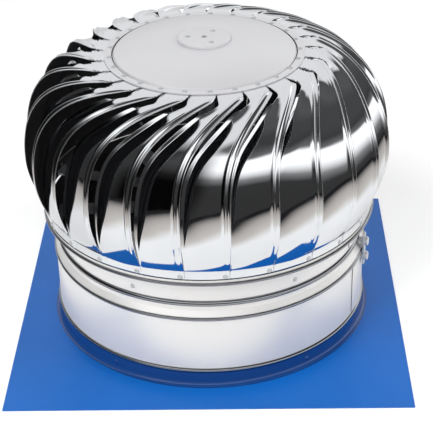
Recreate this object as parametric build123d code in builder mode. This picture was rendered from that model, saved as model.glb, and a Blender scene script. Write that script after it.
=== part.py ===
from build123d import *
import os
from math import atan, cos, hypot, pi, radians, sin

# A wind-driven chimney cowl: a rotor of swept vanes that turns on a fixed throat.
# Millimetres, +Z up, origin at the middle of the flashing plate's underside.
# Azimuths count in degrees from the front (-Y) towards +X, heights from the origin.

# Flashing plate with its upstand
plate_side = 500.0
plate_thickness = 1.2
upstand_height = 20.0
upstand_bend = 6.0

# Throat: the lower pipe and the collar swaged into it
throat_radius = 203.0
throat_wall = 0.8
slide_clearance = 0.15
stop_bead_width = 6.0
stop_bead_rise = 2.6
pipe_top = 102.0
hem_width = 5.0
hem_rise = 2.0
collar_step = 6.0
collar_height = 49.0
skirt_depth = 18.0
shoulder_height = 6.0
collar_bead_lift = 16.5
collar_bead_width = 8.0
collar_bead_rise = 3.2
seam_azimuth = 64.5
seam_width = 12.0
seam_thickness = 0.8
seam_margin = 2.0

# Rivets
rivet_shank = 1.6
rivet_head = 3.3
rivet_head_height = 1.7
rivet_flat = 0.08
rivet_tail = 2.4
rivet_tail_height = 1.0
rivet_clearance = 0.06
rivet_slack = 0.05
rivet_hole_depth = 9.0
pipe_rivet_count = 5
pipe_rivet_azimuth = 37.0
pipe_rivet_height = 11.0

# Strap across the throat joint
strap_azimuth = 77.0
strap_width = 14.0
strap_thickness = 2.0
strap_corner = 3.0
strap_below = 24.0
strap_above = 20.0
lower_bolt_drop = 13.0
upper_bolt_lift = 9.0
strap_stand = 0.6
strap_upper_stand = 2.6
bolt_radius = 3.0
bolt_head_radius = 6.0
bolt_head_height = 4.5
bolt_clearance = 0.06
bolt_end = 2.0
bolt_nut_width = 10.0
bolt_nut_height = 5.0
nut_seat_gap = 0.15
spacer_wall = 2.0

# Support bars and shaft
bar_count = 3
bar_azimuth = 33.0
bar_width = 25.0
bar_thickness = 3.0
bar_drop = 14.0
bar_tab_length = 12.0
shaft_radius = 8.5
shaft_middle_radius = 10.5
shaft_foot = 5.0
shaft_end = 2.0
shaft_chamfer = 1.0
shaft_clearance = 0.05
washer_radius = 15.0
washer_thickness = 2.0
shaft_nut_width = 27.0
shaft_nut_height = 9.0
top_nut_width = 24.0
top_nut_height = 5.0
shaft_spacer_radius = 12.0
shaft_spacer_length = 4.0

# Ball bearings
bearing_radius = 17.5
bearing_width = 10.0
bearing_ring_wall = 2.9
ball_radius = 2.38
ball_count = 9
ball_clearance = 0.08

# Rotor top: stepped dome, hub cap and bearing housing
rim_radius = 124.2
rim_rise = 122.3
rim_step_width = 11.7
rim_step_rise = 2.6
rim_step_run = 2.0
top_thickness = 1.2
dome_rise = 12.8
hub_flat_radius = 34.0
hub_cap_radius = 32.5
hub_cap_thickness = 3.0
hub_cap_round = 1.0
hub_hole_radius = 3.5
hub_rivet_circle = 20.0
hub_rivet_azimuth = 28.4
hub_rivet_count = 3
hub_rivet_depth = 6.0
housing_flange_radius = 31.0
housing_flange_thickness = 2.5
housing_radius = 24.0
housing_skirt = 3.0
housing_shoulder = 8.1
housing_throat = 15.2
retainer_thickness = 1.5
retainer_depth = 0.8
retainer_gap = 12.0
retainer_clearance = 0.1

# Rotor ring and lower spider
ring_overhang = 15.1
ring_sheet = 1.0
ring_drop = 3.0
ring_depth = 21.0
ring_hem_width = 4.0
ring_hem_rise = 2.6
ring_rivet_lift = 12.5
arm_count = 3
arm_azimuth = 12.0
arm_width = 20.0
arm_thickness = 3.0
arm_drop = 4.0
arm_tab_height = 6.5
spider_wall = 5.5
spider_lip = 2.0

# Vanes
vane_count = 25
vane_thickness = 0.8
vane_azimuth = 7.8
equator_bulge = 19.7
equator_rise = 63.7
curve_power = 2.18
flap_lap = 17.2
flap_overhang = 1.8
tab_lift = 8.0
bend_lift = 2.0
bend_flare = 1.7
bend_drop = 4.0
swirl_angle = 36.5
swirl_power = 1.55
rib_width = 11.0
rib_height = 3.5
rib_run_out = 27.0
rib_run_in = 14.0
rib_lip_share = 0.7
rib_crown_share = 0.62
louvre_depth = 18.0
louvre_start = 8.0
louvre_run = 40.0
louvre_end = 8.0
louvre_gap = 11.0
louvre_gap_power = 0.55
edge_gap = 0.4
tab_gap = 1.2
least_flat = 2.0
lip_flange_width = 4.6
lip_flange_least = 1.2
lip_flange_rise = 1.8
sheet_clearance = 0.1
tab_clearance = 0.2
flap_right_angle = 28.2
flap_cut_lean = 3.1
flap_cut_reach = 24.8
flap_side_gap = 0.3
flap_notch_reach = 25.8
flap_notch_run = 12.0
flap_notch_lean = 7.0
flap_spread = 40.0
flap_spread_reach = 35.8
flap_trim_margin = 17.0
flap_trim_angle = 24.0
flap_trim_depth = 24.7
flap_trim_rise = 10.3
top_rivet_inset = 6.7
top_rivet_offset = 25.4
ring_rivet_offset = -1.4
flap_sections = 4
shoulder_sections = 13
skirt_sections = 6
bend_sections = 3
tab_sections = 4
rib_columns = 5
flat_columns = 2
flange_columns = 2

os.makedirs("parts", exist_ok=True)


def polar(radius, azimuth, height):
    """Point at a radius and an azimuth from the front."""
    turn = radians(azimuth)
    return (radius * sin(turn), -radius * cos(turn), height)


def outward(radius, azimuth, height):
    """Plane that faces away from the axis, with its X along the circle."""
    turn = radians(azimuth)
    return Plane(
        origin=polar(radius, azimuth, height),
        x_dir=(cos(turn), sin(turn), 0),
        z_dir=(sin(turn), -cos(turn), 0),
    )


def write(builder, name):
    """Label a finished piece and write it."""
    builder.part.label = name
    export_step(builder.part, f"parts/{name}.step")


def bead(radius, middle, width, rise):
    """Half-round bead pressed out of a wall, drawn in the section plane."""
    ThreePointArc(
        (radius, middle - width / 2),
        (radius + rise, middle),
        (radius, middle + width / 2),
    )


def rivet(grip, tailed=True):
    """Domed rivet whose head sits on the local XY plane, with its tail below the grip."""
    with BuildPart() as piece:
        with Locations((0, 0, rivet_head_height - rivet_dome)):
            Sphere(rivet_dome)
        split(bisect_by=Plane.XY)
        split(bisect_by=Plane.XY.offset(rivet_head_height - rivet_flat), keep=Keep.BOTTOM)
        Cylinder(rivet_shank, grip, align=(Align.CENTER, Align.CENTER, Align.MAX))
        if tailed:
            with Locations((0, 0, -grip)):
                Cylinder(rivet_tail, rivet_tail_height, align=(Align.CENTER, Align.CENTER, Align.MAX))
    return piece.part


def placed(piece, spots):
    """The same piece set on each plane or location."""
    with BuildPart() as group:
        with Locations(*spots):
            add(piece)
    return group


def turned(piece, turn):
    """A piece swung round the axis to its azimuth."""
    return placed(piece, [Location((0, 0, 0), (0, 0, turn))])


def rivet_holes(planes):
    """Clearance holes for rivets, cut from the part being built."""
    with Locations(*planes):
        Cylinder(rivet_shank + rivet_clearance, rivet_hole_depth, mode=Mode.SUBTRACT)


def lap_seam(radius, bottom, top):
    """Overlapped edge of a rolled sheet, a strip along the wall being built."""
    span = seam_width / radius
    with BuildSketch(Plane.XZ.rotated((0, 0, seam_azimuth - 90))) as strip:
        with Locations((radius - throat_wall / 2, bottom)):
            Rectangle(
                throat_wall / 2 + seam_thickness,
                top - bottom,
                align=(Align.MIN, Align.MIN),
            )
    revolve(strip.sketch, axis=Axis.Z, revolution_arc=span * 180 / pi)


def tube(inner, outer, height):
    """Plain ring that stands on the local XY plane."""
    with BuildPart() as ring:
        with BuildSketch():
            Circle(outer)
            Circle(inner, mode=Mode.SUBTRACT)
        extrude(amount=height)
    return ring.part


def hex_nut(width, bore, height):
    """Hexagon nut that stands on the local XY plane."""
    with BuildPart() as nut:
        with BuildSketch():
            RegularPolygon(width / 2, 6, major_radius=False)
            Circle(bore, mode=Mode.SUBTRACT)
        extrude(amount=height)
    return nut.part


def bearing_ring(inner, outer, height):
    """Bearing race with its ball groove, at its height on the axis."""
    middle = height + bearing_width / 2
    with BuildPart() as race:
        with BuildSketch(Plane.XZ):
            with Locations((inner, middle)):
                Rectangle(outer - inner, bearing_width, align=(Align.MIN, Align.CENTER))
            with Locations((ball_circle, middle)):
                Circle(ball_radius + ball_clearance, mode=Mode.SUBTRACT)
        revolve(axis=Axis.Z)
    return race


def bearing_balls(height):
    """Balls of one bearing."""
    with BuildPart(Plane.XY.offset(height + bearing_width / 2)) as balls:
        with PolarLocations(ball_circle, ball_count):
            Sphere(ball_radius)
    return balls


def support_bar(level):
    """Flat bar across the throat with both ends bent down, lying along Y."""
    with BuildPart() as bar:
        with BuildSketch(Plane.XY.offset(level)):
            Rectangle(bar_width, 2 * bar_reach)
            Circle(shaft_radius + shaft_clearance, mode=Mode.SUBTRACT)
        extrude(amount=bar_thickness)
        with BuildSketch(Plane.XY.offset(bar_tab_bottom)):
            with Locations((0, bar_reach), (0, bar_thickness - bar_reach)):
                Rectangle(bar_width, bar_thickness, align=(Align.CENTER, Align.MAX))
        extrude(amount=level - bar_tab_bottom)
        Cylinder(bar_reach, 2 * collar_top, mode=Mode.INTERSECT)
        rivet_holes([outward(bar_reach, side, collar_rivet_height) for side in (0, 180)])
    return bar.part


def ease(start, end, value):
    """Smooth step from 0 at the start to 1 at the end."""
    share = min(max((value - start) / (end - start), 0), 1)
    return share * share * (3 - 2 * share)


# Values that follow from the driving dimensions
rivet_dome = (rivet_head**2 + rivet_head_height**2) / (2 * rivet_head_height)
upstand_inner = throat_radius + slide_clearance
upstand_outer = upstand_inner + plate_thickness
stop_bead_height = upstand_height + stop_bead_width / 2
stop_bead_top = upstand_height + stop_bead_width
collar_radius = throat_radius - collar_step
collar_top = pipe_top + collar_height
collar_bead_height = pipe_top + collar_bead_lift
collar_bead_top = collar_bead_height + collar_bead_width / 2
skirt_radius = throat_radius - throat_wall - slide_clearance
skirt_bottom = pipe_top - skirt_depth
pipe_rivet_turns = [pipe_rivet_azimuth + 360 / pipe_rivet_count * i for i in range(pipe_rivet_count)]
pipe_rivet_planes = [outward(upstand_outer, turn, pipe_rivet_height) for turn in pipe_rivet_turns]
pipe_rivet_grip = plate_thickness + slide_clearance + throat_wall + rivet_slack
bar_turns = [bar_azimuth + 180 / bar_count * i for i in range(bar_count)]
bar_level = collar_top - bar_drop
bar_tab_bottom = bar_level - bar_tab_length
bar_stack_top = bar_level + bar_count * bar_thickness
bar_reach = collar_radius - throat_wall - slide_clearance
collar_rivet_height = (bar_tab_bottom + bar_level) / 2
collar_rivet_turns = [turn + side for turn in bar_turns for side in (0, 180)]
collar_rivet_planes = [outward(collar_radius, turn, collar_rivet_height) for turn in collar_rivet_turns]
collar_rivet_grip = throat_wall + slide_clearance + bar_thickness + rivet_slack
strap_bottom = pipe_top - strap_below
strap_top = pipe_top + strap_above
strap_inner = throat_radius + hem_rise + strap_stand
strap_outer = strap_inner + strap_thickness
bolt_hole = bolt_radius + bolt_clearance
strap_lower_bolt = pipe_top - lower_bolt_drop
strap_upper_bolt = pipe_top + upper_bolt_lift
strap_bolt_heights = [strap_lower_bolt, strap_upper_bolt]
strap_seat_radii = [throat_radius, collar_radius + strap_upper_stand]
strap_nut_radii = [skirt_radius - throat_wall - nut_seat_gap, collar_radius - throat_wall - nut_seat_gap]
strap_bolt_planes = [outward(strap_outer, strap_azimuth, height) for height in strap_bolt_heights]
lower_nut_seat = bar_level - washer_thickness - shaft_nut_height
upper_nut_seat = bar_stack_top + washer_thickness
shaft_bottom = lower_nut_seat - shaft_foot
spacer_bottom = upper_nut_seat + shaft_nut_height
lower_bearing_height = spacer_bottom + shaft_spacer_length
arm_level = lower_bearing_height - arm_drop
arm_tab_top = arm_level + arm_tab_height
ring_radius = collar_radius + ring_overhang
ring_bottom = arm_level - ring_drop
ring_top = ring_bottom + ring_depth
ring_rivet_height = ring_bottom + ring_rivet_lift
equator_radius = ring_radius + equator_bulge
equator_height = ring_top + equator_rise
tab_bottom = ring_bottom + tab_lift
bend_foot = ring_top - bend_drop
bend_height = ring_top + bend_lift
inner_race = shaft_radius + shaft_clearance
inner_race_outer = inner_race + bearing_ring_wall
outer_race_inner = bearing_radius - bearing_ring_wall
ball_circle = (inner_race_outer + outer_race_inner) / 2
bearing_seat = bearing_radius + shaft_clearance
rim_top = equator_height + rim_rise
rim_step_radius = rim_radius - rim_step_width
dome_foot = rim_top + rim_step_rise
dome_top = dome_foot + dome_rise
dome_edge = rim_step_radius - rim_step_run / 2
dome_middle = (dome_edge + hub_flat_radius) / 2
cap_seat = dome_top + sheet_clearance
cap_top = cap_seat + hub_cap_thickness
housing_top = dome_top - top_thickness - sheet_clearance
top_nut_seat = housing_top - housing_shoulder
upper_bearing_height = top_nut_seat - bearing_width
housing_bottom = upper_bearing_height - housing_skirt
shaft_top = top_nut_seat + top_nut_height + shaft_end
hub_rivet_turns = [hub_rivet_azimuth + 360 / hub_rivet_count * i for i in range(hub_rivet_count)]
hub_rivet_spots = [polar(hub_rivet_circle, turn, cap_top) for turn in hub_rivet_turns]
hub_rivet_grip = cap_top - housing_top + hub_rivet_depth
flap_inner_radius = rim_radius - flap_lap
flap_radius = rim_radius + flap_overhang
flap_cut_radius = rim_radius + flap_cut_reach
flap_notch_radius = rim_radius + flap_notch_reach
flap_spread_radius = rim_radius + flap_spread_reach
flap_trim_inner = flap_inner_radius - flap_trim_margin
flap_top = rim_top - top_thickness - sheet_clearance
flap_trim_bottom = flap_top - flap_trim_depth
flap_trim_top = flap_top + flap_trim_rise
crown = flap_top + rib_height
tab_radius = ring_radius + tab_clearance + vane_thickness
vane_pitch = 360 / vane_count
flap_left_angle = flap_right_angle - vane_pitch + flap_side_gap
flap_cut_angle = flap_right_angle - flap_cut_lean
vane_turns = [vane_azimuth + vane_pitch * i for i in range(vane_count)]
top_rivet_circle = rim_radius - top_rivet_inset
top_rivet_spots = [polar(top_rivet_circle, turn + top_rivet_offset, rim_top) for turn in vane_turns]
top_rivet_grip = top_thickness + sheet_clearance + vane_thickness + rivet_slack
ring_rivet_planes = [outward(tab_radius, turn + ring_rivet_offset, ring_rivet_height) for turn in vane_turns]
ring_rivet_grip = vane_thickness + tab_clearance + ring_sheet + rivet_slack
arm_reach = ring_radius - ring_sheet - sheet_clearance
arm_turns = [arm_azimuth + 360 / arm_count * i for i in range(arm_count)]
spider_radius = bearing_seat + spider_wall
spider_top = lower_bearing_height + bearing_width + spider_lip

# Flashing plate
with BuildPart() as base_plate:
    with BuildSketch():
        Rectangle(plate_side, plate_side)
        Circle(upstand_outer + upstand_bend, mode=Mode.SUBTRACT)
    extrude(amount=plate_thickness)
    with BuildSketch(Plane.XZ):
        with BuildLine():
            RadiusArc(
                (upstand_outer + upstand_bend, plate_thickness),
                (upstand_outer, plate_thickness + upstand_bend),
                upstand_bend,
            )
            Line((upstand_outer, plate_thickness + upstand_bend), (upstand_outer, upstand_height))
            offset(amount=plate_thickness, side=Side.LEFT)
        make_face()
    revolve(axis=Axis.Z)
    rivet_holes(pipe_rivet_planes)
write(base_plate, "base_plate")

# Lower pipe of the throat, with a stop bead on the upstand and a hem at the joint
with BuildPart() as neck_pipe:
    with BuildSketch(Plane.XZ):
        with BuildLine():
            Line((throat_radius, 0), (throat_radius, upstand_height))
            bead(throat_radius, stop_bead_height, stop_bead_width, stop_bead_rise)
            Line((throat_radius, stop_bead_top), (throat_radius, pipe_top - hem_width))
            bead(throat_radius, pipe_top - hem_width / 2, hem_width, hem_rise)
            offset(amount=throat_wall, side=Side.LEFT)
        make_face()
    revolve(axis=Axis.Z)
    lap_seam(throat_radius, stop_bead_top + seam_margin, pipe_top - hem_width - seam_margin)
    rivet_holes(pipe_rivet_planes)
    with Locations(outward(throat_radius, strap_azimuth, strap_lower_bolt)):
        Cylinder(bolt_hole, rivet_hole_depth, mode=Mode.SUBTRACT)
write(neck_pipe, "neck_pipe")
write(placed(rivet(pipe_rivet_grip), pipe_rivet_planes), "pipe_rivets")

# Collar swaged into the pipe
with BuildPart() as throat_collar:
    with BuildSketch(Plane.XZ):
        with BuildLine():
            Polyline(
                (skirt_radius, skirt_bottom),
                (skirt_radius, pipe_top),
                (collar_radius, pipe_top + shoulder_height),
                (collar_radius, collar_bead_height - collar_bead_width / 2),
            )
            bead(collar_radius, collar_bead_height, collar_bead_width, collar_bead_rise)
            Line((collar_radius, collar_bead_top), (collar_radius, collar_top))
            offset(amount=throat_wall, side=Side.LEFT)
        make_face()
    revolve(axis=Axis.Z)
    lap_seam(collar_radius, collar_bead_top + seam_margin, collar_top - seam_margin)
    rivet_holes(collar_rivet_planes)
    with Locations(*[outward(collar_radius, strap_azimuth, height) for height in strap_bolt_heights]):
        Cylinder(bolt_hole, 2 * rivet_hole_depth, mode=Mode.SUBTRACT)
write(throat_collar, "throat_collar")
write(placed(rivet(collar_rivet_grip), collar_rivet_planes), "collar_rivets")

# Strap that ties the collar to the pipe, on two bolts with spacers and nuts
with BuildPart() as joint_strap:
    with BuildSketch(outward(strap_inner, strap_azimuth, (strap_bottom + strap_top) / 2)):
        RectangleRounded(strap_width, strap_top - strap_bottom, strap_corner)
    extrude(amount=strap_thickness)
    with Locations(*strap_bolt_planes):
        Cylinder(bolt_hole, rivet_hole_depth, mode=Mode.SUBTRACT)
write(joint_strap, "joint_strap")

strap_bolts = BuildPart()
strap_spacers = BuildPart()
strap_nuts = BuildPart()
for height, seat, nut_seat in zip(strap_bolt_heights, strap_seat_radii, strap_nut_radii):
    shank = strap_outer - nut_seat + bolt_nut_height + bolt_end
    with strap_bolts:
        with Locations(outward(strap_outer, strap_azimuth, height)):
            Cylinder(bolt_radius, shank, align=(Align.CENTER, Align.CENTER, Align.MAX))
            Cylinder(bolt_head_radius, bolt_head_height, align=(Align.CENTER, Align.CENTER, Align.MIN))
    with strap_spacers:
        with Locations(outward(seat, strap_azimuth, height)):
            add(tube(bolt_hole, bolt_hole + spacer_wall, strap_inner - seat))
    with strap_nuts:
        with Locations(outward(nut_seat - bolt_nut_height, strap_azimuth, height)):
            add(hex_nut(bolt_nut_width, bolt_hole, bolt_nut_height))
with strap_bolts:
    crowns = strap_bolts.edges().filter_by(GeomType.CIRCLE).filter_by(lambda e: e.radius > bolt_radius)
    outer_crowns = crowns.sort_by(lambda e: hypot(e.arc_center.X, e.arc_center.Y))[-2:]
    fillet(outer_crowns, radius=bolt_head_height / 2)
write(strap_bolts, "strap_bolts")
write(strap_spacers, "strap_spacers")
write(strap_nuts, "strap_nuts")

# Three bars across the throat, stacked on the shaft
for number, turn in enumerate(bar_turns):
    write(turned(support_bar(bar_level + number * bar_thickness), turn), f"support_bar_{number + 1}")

# Fixed shaft with its nuts, washers and spacer
with BuildPart() as shaft:
    with BuildSketch(Plane.XZ):
        with BuildLine():
            Polyline(
                (0, shaft_bottom),
                (shaft_radius - shaft_chamfer, shaft_bottom),
                (shaft_radius, shaft_bottom + shaft_chamfer),
                (shaft_radius, lower_bearing_height + bearing_width),
                (shaft_middle_radius, lower_bearing_height + bearing_width),
                (shaft_middle_radius, upper_bearing_height),
                (shaft_radius, upper_bearing_height),
                (shaft_radius, shaft_top - shaft_chamfer),
                (shaft_radius - shaft_chamfer, shaft_top),
                (0, shaft_top),
                close=True,
            )
        make_face()
    revolve(axis=Axis.Z)
write(shaft, "shaft")
washer = tube(inner_race, washer_radius, washer_thickness)
write(placed(washer, [(0, 0, bar_level - washer_thickness), (0, 0, bar_stack_top)]), "shaft_washers")
shaft_nut = hex_nut(shaft_nut_width, inner_race, shaft_nut_height)
write(placed(shaft_nut, [(0, 0, lower_nut_seat), (0, 0, upper_nut_seat)]), "shaft_nuts")
spacer = tube(inner_race, shaft_spacer_radius, shaft_spacer_length)
write(placed(spacer, [(0, 0, spacer_bottom)]), "shaft_spacer")
top_nut = hex_nut(top_nut_width, inner_race, top_nut_height)
write(placed(top_nut, [(0, 0, top_nut_seat)]), "top_nut")

# Ball bearings
for name, height in (("lower", lower_bearing_height), ("upper", upper_bearing_height)):
    write(bearing_ring(inner_race, inner_race_outer, height), f"{name}_inner_ring")
    write(bearing_ring(outer_race_inner, bearing_radius, height), f"{name}_outer_ring")
    write(bearing_balls(height), f"{name}_balls")

# Rotor top with its stepped rim and shallow dome
with BuildPart() as top_plate:
    with BuildSketch(Plane.XZ):
        with BuildLine():
            Polyline(
                (rim_radius, rim_top),
                (rim_step_radius + rim_step_run / 2, rim_top),
                (dome_edge, dome_foot),
            )
            ThreePointArc(
                (dome_edge, dome_foot),
                (dome_middle, dome_foot + dome_rise * 3 / 4),
                (hub_flat_radius, dome_top),
            )
            Line((hub_flat_radius, dome_top), (hub_hole_radius, dome_top))
            offset(amount=top_thickness, side=Side.LEFT)
        make_face()
    revolve(axis=Axis.Z)
    rivet_holes(top_rivet_spots)
    rivet_holes(hub_rivet_spots)
write(top_plate, "top_plate")
write(placed(rivet(top_rivet_grip), top_rivet_spots), "top_rivets")

# Hub cap, riveted through the top into the bearing housing
with BuildPart() as hub_cap:
    with BuildSketch(Plane.XY.offset(cap_seat)):
        Circle(hub_cap_radius)
        Circle(hub_hole_radius, mode=Mode.SUBTRACT)
    extrude(amount=hub_cap_thickness)
    fillet(hub_cap.edges().group_by(Axis.Z)[-1].sort_by(SortBy.RADIUS)[-1], radius=hub_cap_round)
    rivet_holes(hub_rivet_spots)
write(hub_cap, "hub_cap")
write(placed(rivet(hub_rivet_grip, tailed=False), hub_rivet_spots), "hub_rivets")

with BuildPart() as bearing_housing:
    with BuildSketch(Plane.XZ):
        with BuildLine():
            Polyline(
                (housing_throat, housing_top),
                (housing_flange_radius, housing_top),
                (housing_flange_radius, housing_top - housing_flange_thickness),
                (housing_radius, housing_top - housing_flange_thickness),
                (housing_radius, housing_bottom),
                (bearing_seat, housing_bottom),
                (bearing_seat, top_nut_seat),
                (housing_throat, top_nut_seat),
                close=True,
            )
        make_face()
        with Locations((bearing_seat, upper_bearing_height)):
            Rectangle(
                retainer_depth + retainer_clearance,
                retainer_thickness + retainer_clearance,
                align=(Align.MIN, Align.MAX),
                mode=Mode.SUBTRACT,
            )
    revolve(axis=Axis.Z)
    with Locations(*[polar(hub_rivet_circle, turn, housing_top) for turn in hub_rivet_turns]):
        Cylinder(
            rivet_shank + rivet_clearance,
            hub_rivet_depth + rivet_slack,
            align=(Align.CENTER, Align.CENTER, Align.MAX),
            mode=Mode.SUBTRACT,
        )
write(bearing_housing, "bearing_housing")

# Open retaining ring under the upper bearing
with BuildPart() as bearing_retainer:
    with BuildSketch(Plane.XY.offset(upper_bearing_height)):
        Circle(bearing_seat + retainer_depth)
        Circle(housing_throat, mode=Mode.SUBTRACT)
        Rectangle(retainer_gap, housing_radius, align=(Align.CENTER, Align.MAX), mode=Mode.SUBTRACT)
    extrude(amount=-retainer_thickness)
write(bearing_retainer, "bearing_retainer")

# Ring at the foot of the rotor
with BuildPart() as rotor_ring:
    with BuildSketch(Plane.XZ):
        with BuildLine():
            bead(ring_radius, ring_bottom + ring_hem_width / 2, ring_hem_width, ring_hem_rise)
            Line((ring_radius, ring_bottom + ring_hem_width), (ring_radius, ring_top))
            offset(amount=ring_sheet, side=Side.LEFT)
        make_face()
    revolve(axis=Axis.Z)
    rivet_holes(ring_rivet_planes)
write(rotor_ring, "rotor_ring")
write(placed(rivet(ring_rivet_grip), ring_rivet_planes), "ring_rivets")

# Welded spider that carries the ring on the lower bearing
with BuildPart() as lower_spider:
    with BuildSketch(Plane.XY.offset(arm_level)):
        for turn in arm_turns:
            with Locations(Location((0, 0, 0), (0, 0, turn))):
                Rectangle(arm_width, arm_reach, align=(Align.CENTER, Align.MAX))
    extrude(amount=arm_thickness)
    with BuildSketch(Plane.XY.offset(arm_level)):
        for turn in arm_turns:
            with Locations(Location((0, 0, 0), (0, 0, turn))):
                with Locations((0, -arm_reach)):
                    Rectangle(arm_width, arm_thickness, align=(Align.CENTER, Align.MIN))
    extrude(amount=arm_tab_top - arm_level)
    Cylinder(arm_reach, 2 * ring_top, mode=Mode.INTERSECT)
    with BuildSketch(Plane.XY.offset(arm_level)):
        Circle(spider_radius)
    extrude(amount=spider_top - arm_level)
    with BuildSketch(Plane.XY.offset(arm_level)):
        Circle(bearing_seat)
    extrude(amount=spider_top - spider_lip - arm_level, mode=Mode.SUBTRACT)
    with BuildSketch(Plane.XY.offset(arm_level)):
        Circle(housing_throat)
    extrude(amount=spider_top - arm_level, mode=Mode.SUBTRACT)
write(lower_spider, "lower_spider")


def vane_profile():
    """Radius and height of a vane from the flap over the shoulder and skirt down the tab."""
    line = []
    for i in range(flap_sections):
        line.append((flap_inner_radius + (flap_radius - flap_inner_radius) * i / flap_sections, crown))
    for i in range(shoulder_sections + 1):
        turn = pi / 2 * i / shoulder_sections
        reach = sin(turn) ** (2 / curve_power)
        rise = max(cos(turn), 0) ** (2 / curve_power)
        line.append(
            (
                flap_radius + (equator_radius - flap_radius) * reach,
                equator_height + (crown - equator_height) * rise,
            )
        )
    for i in range(1, skirt_sections + 1):
        share = i / skirt_sections
        line.append(
            (
                equator_radius - (equator_radius - tab_radius - bend_flare) * share**2,
                equator_height + (bend_height - equator_height) * share,
            )
        )
    for i in range(1, bend_sections + 1):
        share = i / bend_sections
        line.append(
            (
                tab_radius + bend_flare * (1 - share) ** 2,
                bend_height + (bend_foot - bend_height) * share,
            )
        )
    for i in range(1, tab_sections + 1):
        line.append((tab_radius, bend_foot + (tab_bottom - bend_foot) * i / tab_sections))
    return line


def swirl(radius, height):
    """Azimuth in degrees by which the lip has swept forward at a point above the equator."""
    if height <= equator_height:
        return 0.0
    return swirl_angle * max(0, 1 - (radius - flap_radius) / (equator_radius - flap_radius)) ** swirl_power


def vane_columns(radius, height, lean, share):
    """Distance back from the lip and depth below the profile, across one section of a vane."""
    above = height > equator_height
    stretch = 1 / cos(lean)
    rib = rib_height * ease(bend_height, bend_height + rib_run_out, height)
    depth = louvre_depth * ease(bend_height, equator_height + louvre_end, height)
    if above:
        depth *= ease(flap_radius + louvre_start, flap_radius + louvre_start + louvre_run, radius)
    gap = louvre_gap * sin(pi * share**louvre_gap_power) + edge_gap + tab_gap * ease(0.8, 1, share)
    flange_run = ease(0.05, 0.2, share) * (1 - ease(0.75, 1, share))
    flange = lip_flange_least + (lip_flange_width - lip_flange_least) * flange_run
    flange_rise = lip_flange_rise * flange / lip_flange_width * ease(0, 0.05, share)
    flat = max(2 * pi * radius / vane_count * cos(lean) - gap, rib_width + least_flat)
    spread = flap_spread * (flap_spread_radius - radius) / (flap_spread_radius - flap_inner_radius)
    spread = max(0, spread) if above else 0
    crest = ease(flap_radius, flap_radius + rib_run_in, radius) if above else 1
    columns = []
    for i in range(rib_columns):
        part = i / rib_columns
        bump = crest * (rib_lip_share * (1 - part) + rib_crown_share * sin(pi * part))
        columns.append((part * rib_width * stretch, rib * (1 - bump)))
    columns.append((rib_width * stretch, rib))
    for i in range(1, flat_columns + 1):
        part = i / flat_columns
        columns.append(((rib_width + (flat - rib_width) * part) * stretch, rib + depth * part))
    for i in range(1, flange_columns + 1):
        part = i / flange_columns
        back = flat * stretch + part * (flange * stretch + spread)
        columns.append((back, rib + depth - part * flange_rise))
    return columns


def vane_points():
    """Outer skin of a vane as rows of points, its lip at azimuth 0 below the equator."""
    line = vane_profile()
    last = len(line) - 1
    arc = [0]
    for a, b in zip(line, line[1:]):
        arc.append(arc[-1] + hypot(b[0] - a[0], b[1] - a[1]))
    flap_end = arc[flap_sections]
    tab_start = arc[last - tab_sections - bend_sections]
    rows = []
    for k, (radius, height) in enumerate(line):
        a = max(k - 1, 0)
        b = min(k + 1, last)
        run = hypot(line[b][0] - line[a][0], line[b][1] - line[a][1])
        out = (line[a][1] - line[b][1]) / run
        up = (line[b][0] - line[a][0]) / run
        lean = atan(radius * radians(swirl(*line[a]) - swirl(*line[b])) / (arc[b] - arc[a]))
        share = min(max((arc[k] - flap_end) / (tab_start - flap_end), 0), 1)
        row = []
        for back, depth in vane_columns(radius, height, lean, share):
            azimuth = swirl(radius, height) - back / radius * 180 / pi
            row.append(Vector(*polar(radius - out * depth, azimuth, height - up * depth)))
        rows.append(row)
    return rows


def vane_sheet():
    """Bent vane blank, lofted through closed sections with a rib, a flat and a flange."""
    outer = vane_points()
    rows = len(outer)
    columns = len(outer[0])
    start = outer[0][0]
    edge = outer[0][-1] - start
    outer[0] = [start + edge * ((point - start).length / edge.length) for point in outer[0]]
    creases = [0, rib_columns, rib_columns + flat_columns, columns - 1]
    spans = list(zip(creases, creases[1:]))
    knots = {}
    for first, last in spans:
        steps = [0]
        for j in range(first, last):
            steps.append(steps[-1] + sum((row[j + 1] - row[j]).length for row in outer))
        knots[first] = [step / steps[-1] for step in steps]
    sections = []
    for i, row in enumerate(outer):
        inner = []
        for j, point in enumerate(row):
            along = outer[min(i + 1, rows - 1)][j] - outer[max(i - 1, 0)][j]
            across = row[min(j + 1, columns - 1)] - row[max(j - 1, 0)]
            normal = across.cross(along).normalized()
            if i <= flap_sections:
                normal = Vector(0, 0, 1)
            if i >= rows - tab_sections - 1:
                normal = Vector(point.X, point.Y, 0).normalized()
            inner.append(point - normal * vane_thickness)
        skin = [Edge.make_spline(row[a : b + 1], parameters=knots[a]) for a, b in spans]
        back = [Edge.make_spline(inner[a : b + 1], parameters=knots[a]) for a, b in spans]
        ends = [Edge.make_line(row[-1], inner[-1]), Edge.make_line(inner[0], row[0])]
        sections.append(Wire(skin + ends[:1] + back[::-1] + ends[1:]))
    return Solid.make_loft(sections)


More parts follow.
